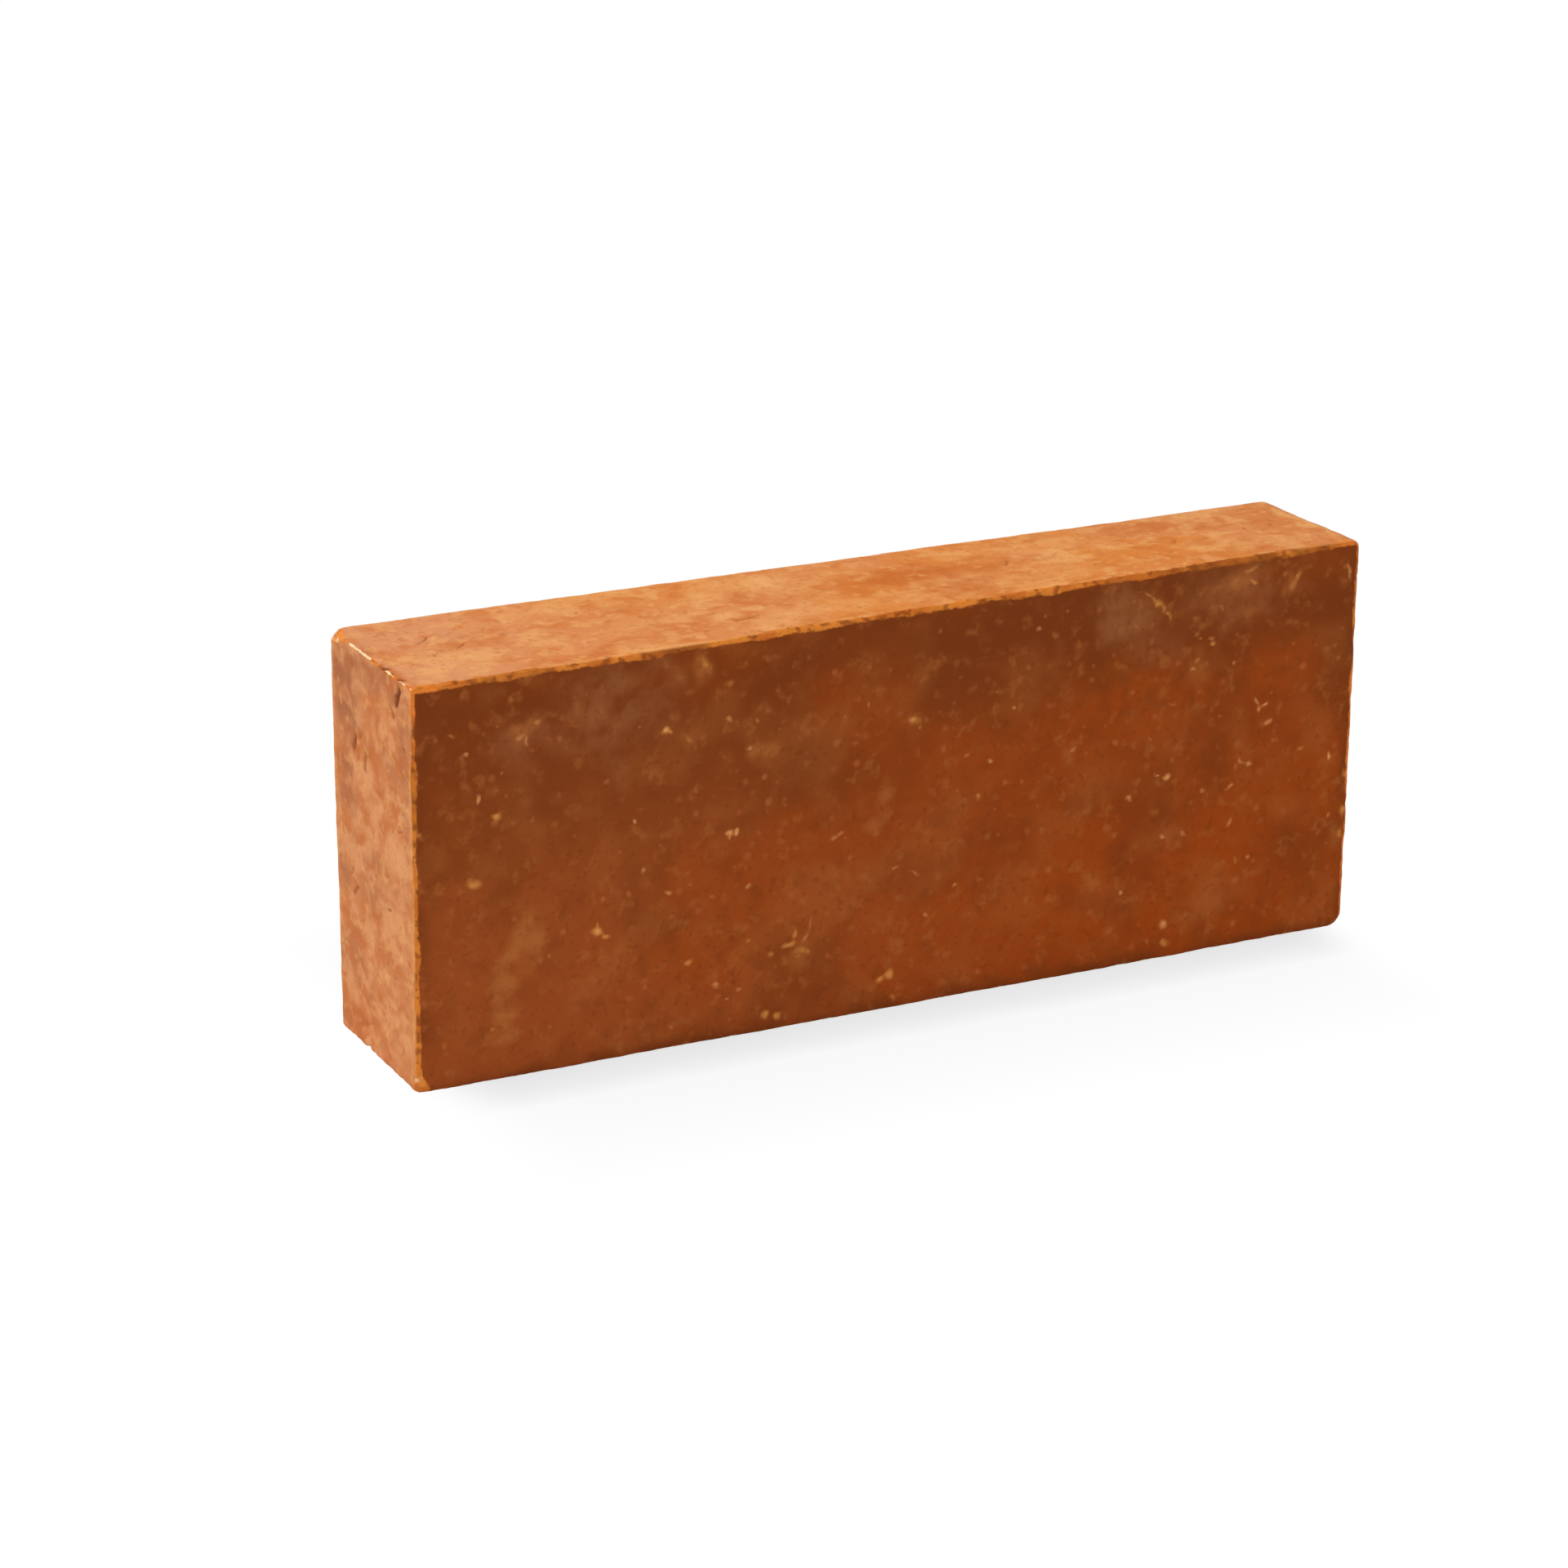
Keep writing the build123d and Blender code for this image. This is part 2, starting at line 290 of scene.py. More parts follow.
PEACH_FLECKS = [
    (-104.9, 67.6, 0.6, 1.1, 0, 0.9), (-107.5, 78.4, 0.7, 0.7, 0, 0.8),
    (-100.4, 69.0, 0.7, 0.5, 0, 0.65), (-93.4, 79.3, 0.7, 1.6, 15, 0.75),
    (-95.0, 80.0, 1.2, 0.6, 20, 0.62), (-59.7, 76.7, 0.5, 0.5, 0, 0.9),
    (-67.4, 56.0, 0.6, 0.6, 0, 0.95), (-44.2, 49.7, 0.9, 0.7, 0, 1.0), (-42.4, 49.6, 0.7, 0.6, 0, 1.0),
    (-43.8, 48.6, 0.5, 0.6, 0, 0.8), (-76.9, 32.0, 0.5, 0.5, 0, 0.85), (-44.1, 76.4, 1.0, 0.9, 0, 0.65),
    (-47.2, 13.6, 1.9, 0.9, -25, 0.7), (-41.2, 11.5, 0.9, 0.7, 0, 0.7),
    (-43.9, 10.1, 0.7, 0.5, 0, 0.68), (-38.6, 36.1, 0.9, 0.7, 30, 0.75),
    (-47.7, 35.1, 1.1, 0.7, 0, 0.65), (-59.0, 37.9, 1.0, 0.7, -10, 0.68),
    (-65.2, 44.4, 0.8, 0.8, 0, 0.65), (-102.0, 12.9, 0.8, 0.8, 0, 0.66),
    (-58.4, 5.6, 0.9, 0.6, -30, 0.66), (-39.1, 68.7, 1.0, 0.9, 0, 0.65),
    (-37.0, 75.3, 0.9, 0.8, 0, 0.66), (-17.0, 44.3, 2.6, 0.7, 28, 0.66),
    (-23.3, 24.6, 0.5, 1.9, -8, 0.68), (-24.2, 21.4, 0.5, 1.6, -20, 0.66),
    (28.0, 68.1, 0.8, 0.7, 0, 0.75), (34.0, 86.0, 0.8, 0.5, -30, 0.75), (19.1, 48.1, 0.8, 0.8, 0, 0.68),
    (22.6, 56.1, 1.0, 0.8, -20, 0.66), (16.0, 58.6, 0.9, 0.6, 10, 0.64),
    (6.6, 21.4, 1.2, 0.7, -45, 0.66), (13.7, 27.8, 1.1, 0.6, 35, 0.66),
    (3.0, 32.4, 1.8, 0.5, -30, 0.64), (-2.4, 34.4, 1.9, 0.5, 5, 0.62), (59.1, 41.5, 0.9, 0.8, 0, 0.75),
    (66.6, 46.0, 0.9, 0.5, -30, 0.85), (69.4, 45.3, 1.1, 0.7, 30, 0.85),
    (89.4, 45.9, 1.7, 0.5, -40, 0.75), (91.9, 44.7, 1.0, 0.6, 10, 0.66),
    (113.9, 43.3, 0.6, 0.8, 0, 0.9), (114.3, 28.9, 0.6, 0.7, 0, 0.85), (93.2, 59.5, 1.7, 0.5, -48, 0.8),
    (95.2, 58.7, 1.4, 0.5, 10, 0.85), (93.6, 57.8, 0.5, 0.9, -30, 0.8),
    (96.7, 54.4, 1.2, 0.7, 35, 0.75), (79.3, 40.4, 0.9, 0.8, 0, 0.66), (86.9, 39.9, 1.3, 0.7, 30, 0.68),
    (87.3, 31.4, 1.3, 0.6, 55, 0.7), (68.7, 30.6, 1.0, 0.8, -20, 0.68),
    (74.4, 30.6, 1.4, 0.6, -50, 0.68), (92.3, 21.7, 0.7, 0.7, 0, 0.75), (57.9, 18.1, 0.8, 0.7, 0, 0.8),
    (69.8, 8.5, 1.1, 1.1, 0, 0.85), (75.5, 70.1, 1.0, 0.8, 0, 0.72), (76.6, 72.4, 0.9, 0.9, 0, 0.64),
    (86.6, 70.1, 0.6, 0.7, 0, 0.66), (83.4, 57.8, 0.8, 0.6, -20, 0.64), (64.4, 55.1, 0.8, 0.7, 0, 0.64),
    (44.1, 55.4, 1.6, 0.9, 45, 0.64), (82.3, 83.9, 1.1, 0.7, -40, 0.64),
    (59.8, 82.4, 1.0, 0.5, -25, 0.64), (116.9, 88.2, 0.6, 3.0, 12, 0.72),
    (115.9, 74.2, 0.6, 0.8, 0, 0.64),
]
TOP_VEILS = [
    (SIDE_RUST, [
        (13, 3, 26, 12, 0, 1.0), (20, -10, 16, 8, 0, 0.7), (31, 1.5, 10, 5, 0, 0.7),
        (33, 8, 6, 3, 0, 0.5), (-57, -6.7, 8, 2.6, 0, 0.7), (-76.5, 3, 7, 2.6, 0, 0.6),
        (78, 12, 11, 9, 0, 0.5), (92, 7, 6, 4.5, 0, 0.55), (87, -5, 5, 3.5, 0, 0.65),
        (-36, 0.5, 4.5, 1.6, 0, 0.6), (-33.5, -9.5, 5, 2.2, 10, 0.6), (-29, -17.8, 2, 1.8, 0, 0.6),
        (60, 4, 4, 2.5, 0, 0.4), (-60, 6, 14, 16, 0, 0.35), (108, 4, 4, 2.5, 0, 0.5),
        (-18, 18, 6, 2, 0, 0.5), (-20, 0, 5, 3, 20, 0.35), (-99, 1, 4, 3, 40, 0.4),
    ]),
    (SIDE_PALE, [
        (-19, 13, 8, 6, 0, 0.75), (-35.5, 9, 6, 8, 20, 0.6), (-38, -6, 6, 4, 10, 0.75),
        (-29, -4, 6, 3, 0, 0.7), (-82, -3, 7, 5, 0, 0.5), (-69, 14, 6, 8, 0, 0.55),
        (28, 13, 5, 4, 0, 0.4), (58, 11, 8, 7, 0, 0.6), (64, 2, 6, 7, 0, 0.5), (6, -13, 8, 4, 0, 0.5),
        (94, -1, 7, 2.4, 5, 0.7), (100, -12, 16, 5, 0, 0.35), (-15, -12, 22, 8, 0, 0.5),
        # The two pale rows by the right end of the top, beside its edge, are a painted highlight
        (116, -4, 3, 6, 0, 0.7), (117.6, 0, 1.8, 26, 0, 0.9), (-105, -8, 16, 14, 0, 0.35),
        (45, -12, 16, 6, 0, 0.35),
    ]),
]
LEFT_VEILS = [
    (END_BROWN, [
        (14, 82, 11, 17, 0, 1.0), (13, 61, 9, 10, 0, 0.9), (-18, 76, 5, 24, 0, 0.6),
        (4, 92, 20, 6, 0, 0.6), (16, 38, 6, 7, 0, 0.5), (-16, 90, 5, 8, 0, 0.4),
    ]),
    (END_RUST, [
        (5.9, 52.4, 4, 2.8, -35, 0.9), (-2, 32.4, 3.2, 2.2, -35, 0.9), (1, 77, 9, 6, -20, 0.6),
        (10, 27, 5, 6, 0, 0.4), (-6, 86, 6, 5, 0, 0.4), (-5, 18, 8, 4, -25, 0.5),
        (4, 7, 9, 2.0, -20, 0.4), (-1, 3.5, 2.5, 2.5, 0, 0.7), (19, 63, 2, 4, 0, 0.7),
    ]),
    (END_PALE, [
        (-12, 54, 7, 6, -15, 0.9), (-3.5, 61, 8, 3, -25, 0.8), (-15.5, 62, 4, 3, 0, 0.8),
        (8, 66, 1.4, 7, 0, 0.8), (4, 29, 4, 5, 0, 0.8), (2.3, 24, 4, 5, 0, 0.6), (3, 49, 4, 4, 0, 0.6),
        (-0.6, 10.3, 4, 1.6, -15, 0.8), (-16.3, 9.2, 4, 1.4, -15, 0.7), (-11, 5, 4, 3, 0, 0.6),
        (17, 14, 6, 7, -30, 0.8), (-16, 40, 6, 8, 0, 0.5), (-6, 44, 8, 3, -20, 0.5),
        (-2, 79, 3, 4, 0, 0.5),
    ]),
]
RIM_VEILS = [
    # Bright orange along the right edge and at the top corners: bare rim with a painted highlight
    (RIM_ORANGE_HIGHLIGHT, [(119.5, 36, 6, 46, 0, 1.0), (119, 95, 5, 5, 0, 0.9), (-119.5, 91, 7, 9, 0, 0.8)]),
    (RIM_BROWN, [
        (-96, 94, 15, 6, 0, 0.55), (-56, 93.5, 12, 3, 0, 0.7), (86, 94, 42, 6, 0, 0.8),
        (-120, 70, 5, 12, 0, 0.45),
    ]),
]
# Painted highlight on the lit side of the rims, off the beds
RIM_HIGHLIGHT_VEILS = [
    (RIM_HIGHLIGHT, [(-62, 95, 34, 9, 0, 1.0), (-120, 30, 9, 38, 0, 1.0), (112, 95, 14, 8, 0, 0.6)]),
]

# The axes that marks lie along on each face: sideways, up and into the face, and how deep they go
MARK_AXES = {"front": (0, 2, 1), "top": (0, 1, 2), "left": (1, 2, 0)}
MARK_DEPTH = 6.0

# How the shapes drawn on the skin are frayed: the width of the noise and how far it pushes
STROKE_FRAY, FLECK_FRAY, VEIL_FRAY, PATCH_FRAY = (2.2, 0.6), (2.0, 0.7), (7.0, 3.6), (5.0, 2.5)

# Veils: the noise that breaks them, where they start and are full in it, and the share that is full
VEIL_GRAIN_WIDTH, VEIL_GRAIN_SPAN = 4.0, (-1.0, 0.3)
BED_VEIL_CORE, SIDE_VEIL_CORE = 0.2, 0.35

# Noise inside the material: its width and its octaves, and its mean
FINE_NOISE, COARSE_NOISE, NOISE_MEAN = (1.5, 2.0), (3.4, 3.0), 0.5

# Grain inside the material: the colour, its noise, where it starts and is full, and the strength
BED_GRAIN = [(BED_DUST, "coarse", 0.55, 0.75, 0.40), (BED_DEEP, "fine", 0.54, 0.74, 0.40)]
SIDE_GRAIN = [(SIDE_PALE, "coarse", 0.53, 0.72, 0.50), (SIDE_BROWN, "fine", 0.54, 0.74, 0.45)]

# Specks strewn over the beds: how far apart, the largest radius, the strength and how frayed,
# then the least radius as a share of their spacing, and the power that makes most of them faint
SPECK_SPACING, SPECK_RADIUS, SPECK_STRENGTH, SPECK_FRAY = 5.6, 1.35, 0.45, 0.25
SPECK_LEAST, SPECK_POWER = 0.02, 2.0

# Outlines inside the material: how far noise frays them, where they start and are full, the strength
BED_OUTLINE, FLECK_OUTLINE = (1.0, 0.75, 0.45, 1.0), (0.5, 0.28, 0.95, 1.0)
RIM_OUTLINE, HIGHLIGHT_CREST_OUTLINE = (0.4, 0.42, 0.60, 1.0), (0.6, 0.44, 0.56, 0.9)

# Painted shade in the hollows of the strokes: the depth at which it starts and is full, and the strength
HOLLOW_SHADE_RAMP = (0.1, 0.6, 0.85)

# Surface: how rough and how shiny it is, how strong and how deep its bumps are, and their share on the beds
ROUGHNESS, SHINE = 0.88, 0.05
BUMP_STRENGTH, BUMP_DEPTH, BED_BUMP_SHARE = 0.55, 0.5, 0.5


def on_face(face, across, up):
    """A place on a face that the photograph shows, from the middle of its foot, or of the top itself."""
    if face == "front":
        return (across, low[1], low[2] + up)
    if face == "left":
        return (low[0], across, low[2] + up)
    return (across, up, high[2])


def apply_modifiers(piece):
    """Put what the modifiers make into the piece's own mesh."""
    graph = bpy.context.evaluated_depsgraph_get()
    made = bpy.data.meshes.new_from_object(piece.evaluated_get(graph))
    piece.modifiers.clear()
    piece.data = made


def packed_skin():
    """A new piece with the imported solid's shape, its skin cut into even cells."""
    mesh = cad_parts[NODE].data.copy()
    mesh.materials.clear()
    piece = bpy.data.objects.new("brick_skin", mesh)
    bpy.context.scene.collection.objects.link(piece)
    cells = piece.modifiers.new("cells", "REMESH")
    cells.mode = "VOXEL"
    cells.voxel_size = CELL * MM
    apply_modifiers(piece)
    return piece


def read_vertices(mesh, name):
    """One vector for each vertex."""
    values = np.empty(len(mesh.vertices) * 3, np.float32)
    mesh.vertices.foreach_get(name, values)
    return values.reshape(-1, 3).astype(float)


def write_vertices(mesh, points):
    """Move the vertices to these points, which are in millimetres."""
    mesh.vertices.foreach_set("co", (points * MM).astype(np.float32).ravel())
    mesh.update()


def paint(mesh, name, values):
    """Keep a number, a vector or a colour for each vertex, for the material to read."""
    columns = values.shape[1] if values.ndim > 1 else 1
    kind, key = LAYER_KINDS[columns]
    layer = mesh.attributes.new(name, kind, "POINT")
    layer.data.foreach_set(key, values.astype(np.float32).ravel())


def field(points, width, octaves=1):
    """Noise of about -1 to 1 at each point, with features about one width across."""
    spots = (points / width).tolist()
    return np.array([noise.fractal(spot, NOISE_FADE, NOISE_STEP, octaves) for spot in spots])


def frayed(points, width, reach):
    """The points pushed about by noise, to fray the shapes that are drawn with them."""
    spots = (points / width).tolist()
    return points + reach * np.array([noise.noise_vector(spot) for spot in spots])


def rise(values, start, full):
    """0 at the start, rising smoothly to 1 where it is full, which may be the lower of the two."""
    share = np.clip((values - start) / (full - start), 0, 1)
    return share * share * (3 - 2 * share)


def inside(points, face):
    """How far each point lies inside the plane of one face of the block."""
    axis, side = FACES[face]
    return high[axis] - points[:, axis] if side > 0 else points[:, axis] - low[axis]


def turned(points, face):
    """The points, with those of the far half turned half round to a face, whose marks they repeat."""
    axis, _ = FACES[face]
    middle = (low + high) / 2
    turn = (1, -1, -1) if face == "top" else (-1, -1, 1)
    far = inside(points, face) > (high - low)[axis] / 2
    return np.where(far[:, None], middle + (points - middle) * turn, points)


def edge_distance(points, edge):
    """How far each point lies from the edge where two faces meet."""
    return np.maximum(*(inside(points, face) for face in edge))


def into_bed(points):
    """How far each point lies inside the nearer of the two bed faces."""
    return high[1] - np.abs(points[:, 1])


def into_side(points):
    """How far each point lies inside the nearest of the four narrow faces."""
    return np.min([inside(points, face) for face in ("left", "right", "foot", "top")], axis=0)


def pit_hollows(points):
    """Depth of the small round pits that the fired clay is full of."""
    spots = (points / PIT_SPACING).tolist()
    distance = np.array([noise.voronoi(spot)[0][0] for spot in spots]) * PIT_SPACING
    return PIT_DEPTH * rise(distance, PIT_RADIUS, 0)


def edge_hollows(points):
    """Depth that the edges have crumbled to, in bites and in crumbs."""
    wear = np.zeros(len(points))
    for edge, (_, depth, _) in EDGES.items():
        wear = np.maximum(wear, depth * rise(edge_distance(points, edge), WEAR_REACH, 0))
    worn = wear > 0
    bites = field(points[worn], BITE_WIDTH)
    crumbs = field(points[worn], CRUMB_WIDTH, octaves=SOFT)
    wear[worn] *= np.clip(WEAR_BASE + BITE_SHARE * bites + CRUMB_SHARE * crumbs, 0, 1)
    return wear


def stroke_hollows(points):
    """Depth of the listed dents, slits and scratches."""
    hollow = np.zeros(len(points))
    spots = {face: frayed(turned(points, face), *STROKE_FRAY) for face in MARK_AXES}
    for face, start, end, radius, depth in STROKES:
        start, end = (np.array(on_face(face, *spot)) for spot in (start, end))
        run = end - start
        share = np.clip((spots[face] - start) @ run / (run @ run), 0, 1)
        distance = np.linalg.norm(spots[face] - start - share[:, None] * run, axis=1)
        hollow += depth * rise(distance, radius, 0)
    return hollow


def grain_relief(points):
    """Depth of the broad swell of the faces, and of their grain, which is coarser off the beds."""
    on_side = rise(into_bed(points), 0, WEAR_REACH)
    depth = BED_GRAIN_DEPTH + (SIDE_GRAIN_DEPTH - BED_GRAIN_DEPTH) * on_side
    swell = SWELL_DEPTH * field(points, SWELL_WIDTH, octaves=SOFT)
    return swell + depth * field(points, GRAIN_WIDTH, octaves=ROUGH)


def kiln_warp(points):
    """The points moved with the corners that the kiln pulled out of true, and set on the floor."""
    shares = (points - low) / (high - low)
    moved = points.copy()
    for (side, depth), top_pull in TOP_WARP.items():
        share = shares[:, 0] if side > 0 else 1 - shares[:, 0]
        share = share * (shares[:, 1] if depth > 0 else 1 - shares[:, 1])
        foot_pull = FOOT_WARP[side, depth]
        for axis, top, foot in zip((0, 2), top_pull, foot_pull):
            moved[:, axis] += share * (top * shares[:, 2] + foot * (1 - shares[:, 2]))
    moved[:, 2] = np.maximum(moved[:, 2], low[2])
    return moved


def chip_shares(points):
    """1 on the flats of the corners that were knocked off, falling to 0 a little beyond them."""
    shares = np.zeros(len(points))
    for corner, setbacks in CHIPS.items():
        beyond = sum(inside(points, face) / setback for face, setback in zip(corner, setbacks)) - 1
        shares = np.maximum(shares, rise(beyond, CHIP_FADE, 0))
    return shares


def band_shares(points, widths):
    """1 on an edge, 0.5 where its band ends and 0 beyond."""
    shares = np.zeros(len(points))
    for edge, width in widths.items():
        if width:
            shares = np.maximum(shares, 1 - edge_distance(points, edge) / (2 * width))
    return shares


def rim_shares(points):
    """1 on a bare rim and on a knocked-off corner, 0.5 where the rim ends, wandering along the edge."""
    rims = band_shares(points, {edge: bare for edge, (bare, _, _) in EDGES.items()})
    rims += RIM_SWAY * field(points, RIM_SWAY_WIDTH, octaves=ROUGH)
    return np.maximum(rims, chip_shares(points))


def highlight_crest_shares(points):
    """The same for the cream crests, a painted highlight, in stretches along their edges."""
    highlight_crests = band_shares(points, {edge: cream for edge, (_, _, cream) in EDGES.items()})
    return highlight_crests * rise(field(points, HIGHLIGHT_CREST_WIDTH), *HIGHLIGHT_CREST_SPAN) * (1 - chip_shares(points))


def laid(under, over, shares):
    """Colours laid over the colour of each vertex, by a share of each."""
    return np.array(under) + (np.array(over) - under) * shares[:, None]


def patched(colours, points, patches):
    """Colours with patches of others laid over them."""
    for patch_colour, width, start, full, strength in patches:
        shares = strength * rise(field(points, width, octaves=SOFT), start, full)
        colours = laid(colours, patch_colour, shares)
    return colours


def mark_distance(points, face, row):
    """How far each point lies from the middle of a mark on a face: 1 on the mark's outline."""
    across, up, half_length, half_width, tilt, _ = row
    sideways, upwards, inwards = (points - on_face(face, across, up))[:, MARK_AXES[face]].T
    turn = math.radians(tilt)
    run = (sideways * math.cos(turn) + upwards * math.sin(turn)) / half_length
    climb = (upwards * math.cos(turn) - sideways * math.sin(turn)) / half_width
    return np.sqrt(run**2 + climb**2 + (inwards / MARK_DEPTH) ** 2)


def veiled(colours, points, face, veils, core):
    """Colours with a face's soft veils laid over them, each one full in its core."""
    spots = frayed(turned(points, face), *VEIL_FRAY)
    breaks = rise(field(points, VEIL_GRAIN_WIDTH, octaves=SOFT), *VEIL_GRAIN_SPAN)
    for veil_colour, rows in veils:
        shares = [row[-1] * rise(mark_distance(spots, face, row), 1, core) for row in rows]
        colours = laid(colours, veil_colour, np.max(shares, axis=0) * breaks)
    return colours


def fleck_shares(points, rows):
    """1 in the middle of a strong fleck, 0.5 on its outline and 0 beyond."""
    spots = frayed(turned(points, "front"), *FLECK_FRAY)
    shares = [row[-1] * (1 - mark_distance(spots, "front", row) / 2) for row in rows]
    return np.clip(np.max(shares, axis=0), 0, 1)


def border_shares(points, into, border):
    """1 beside an edge and 0 further into the face than its border goes, in stretches along it."""
    return rise(into, *border) * rise(field(points, BORDER_WIDTH), *BORDER_SPAN)


def bed_colours(points):
    """The dark brown of the two bed faces, redder to the right, deeper towards the edges, and with painted
    shade deepening it towards the top, which leaves the foot lighter as if lit from the floor.
    """
    colours = laid(BED_BROWN, BED_RED, rise(points[:, 0], *RED_SPAN))
    # Painted shade: the beds darken up from the foot, as if the floor lit their lower part
    colours = laid(colours, BED_DEEP, rise(points[:, 2], *BED_SHADE_SPAN))
    colours = patched(colours, points, BED_PATCHES)
    borders = border_shares(points, into_side(points), BED_BORDER)
    colours = laid(colours, BED_DEEP, BED_BORDER_STRENGTH * borders)
    return veiled(colours, points, "front", BED_VEILS, BED_VEIL_CORE)


def side_colours(points):
    """The orange of the top and the foot, and the pink of the ends, paler beside the beds with a painted
    highlight.
    """
    spots = frayed(points, *PATCH_FRAY)
    colours = laid(SIDE_ORANGE, SIDE_PINK, rise(points[:, 0], *PINK_SPAN))
    colours = patched(colours, spots * SIDE_STRETCH, SIDE_PATCHES)
    colours = veiled(colours, points, "top", TOP_VEILS, SIDE_VEIL_CORE)
    ends = patched(np.tile(END_PINK, (len(points), 1)), spots * END_STRETCH, END_PATCHES)
    ends = veiled(ends, points, "left", LEFT_VEILS, SIDE_VEIL_CORE)
    colours = laid(colours, ends, rise(np.abs(points[:, 0]), *END_SPAN))
    # Painted highlight: the sides paler in stretches beside the edges of the beds
    borders = border_shares(points, into_bed(points), SIDE_HIGHLIGHT_BORDER)
    return laid(colours, SIDE_PALE, SIDE_HIGHLIGHT_STRENGTH * borders)


def rim_colours(points):
    """The ochre of the bare rims, pale off the beds and bright orange in places, which are painted
    highlights, and the orange of the knocked-off corners.
    """
    colours = patched(np.tile(RIM_OCHRE, (len(points), 1)), points, RIM_PATCHES)
    colours = veiled(colours, points, "front", RIM_VEILS, SIDE_VEIL_CORE)
    # Painted highlight: the rims paler on the side faces, where the veils lie
    highlighted = veiled(colours, points, "front", RIM_HIGHLIGHT_VEILS, SIDE_VEIL_CORE)
    colours = laid(colours, highlighted, rise(into_bed(points) - into_side(points), *RIM_HIGHLIGHT_SPAN))
    chips = patched(np.tile(CHIP_ORANGE, (len(points), 1)), points, CHIP_PATCHES)
    return laid(colours, chips, chip_shares(points))


def thin_out(piece, kept):
    """Thin the skin out to its triangles, leaving the cells at the kept vertices as they are."""
    group = piece.vertex_groups.new(name="kept")
    group.add(np.flatnonzero(kept).tolist(), 1.0, "REPLACE")
    thin = piece.modifiers.new("thin", "DECIMATE")
    cells = len(piece.data.polygons)
    thin.ratio = TRIANGLES / (2 * cells)  # a cell is two triangles
    thin.vertex_group = group.name
    thin.invert_vertex_group = True
    apply_modifiers(piece)
    piece.vertex_groups.clear()


def sculpted_skin():
    """The brick's skin with its relief and its colours, thinned out where it is flat."""
    piece = packed_skin()
    points = read_vertices(piece.data, "co") / MM
    normals = read_vertices(piece.data, "normal")
    strokes = stroke_hollows(points)
    hollow = edge_hollows(points) + pit_hollows(points) + strokes
    kept = (strokes != 0) | (rim_shares(points) > KEPT_RIM)
    kept |= fleck_shares(points, OCHRE_FLECKS + PEACH_FLECKS) > 0
    points -= normals * (hollow + grain_relief(points))[:, None]
    write_vertices(piece.data, points)
    # The depth of the strokes, which the material darkens as painted shade
    paint(piece.data, "hollow", strokes)
    thin_out(piece, kept)
    points = read_vertices(piece.data, "co") / MM
    paint(piece.data, "place", points)
    paint(piece.data, "bed", bed_colours(points))
    paint(piece.data, "side", side_colours(points))
    paint(piece.data, "rim", rim_colours(points))
    paint(piece.data, "rim_share", rim_shares(points))
    # Where the cream of the painted highlight lies along the edges
    paint(piece.data, "highlight_crest_share", highlight_crest_shares(points))
    paint(piece.data, "ochre_share", fleck_shares(points, OCHRE_FLECKS))
    paint(piece.data, "peach_share", fleck_shares(points, PEACH_FLECKS))
    write_vertices(piece.data, kiln_warp(points))
    piece.data.shade_smooth()
    return piece


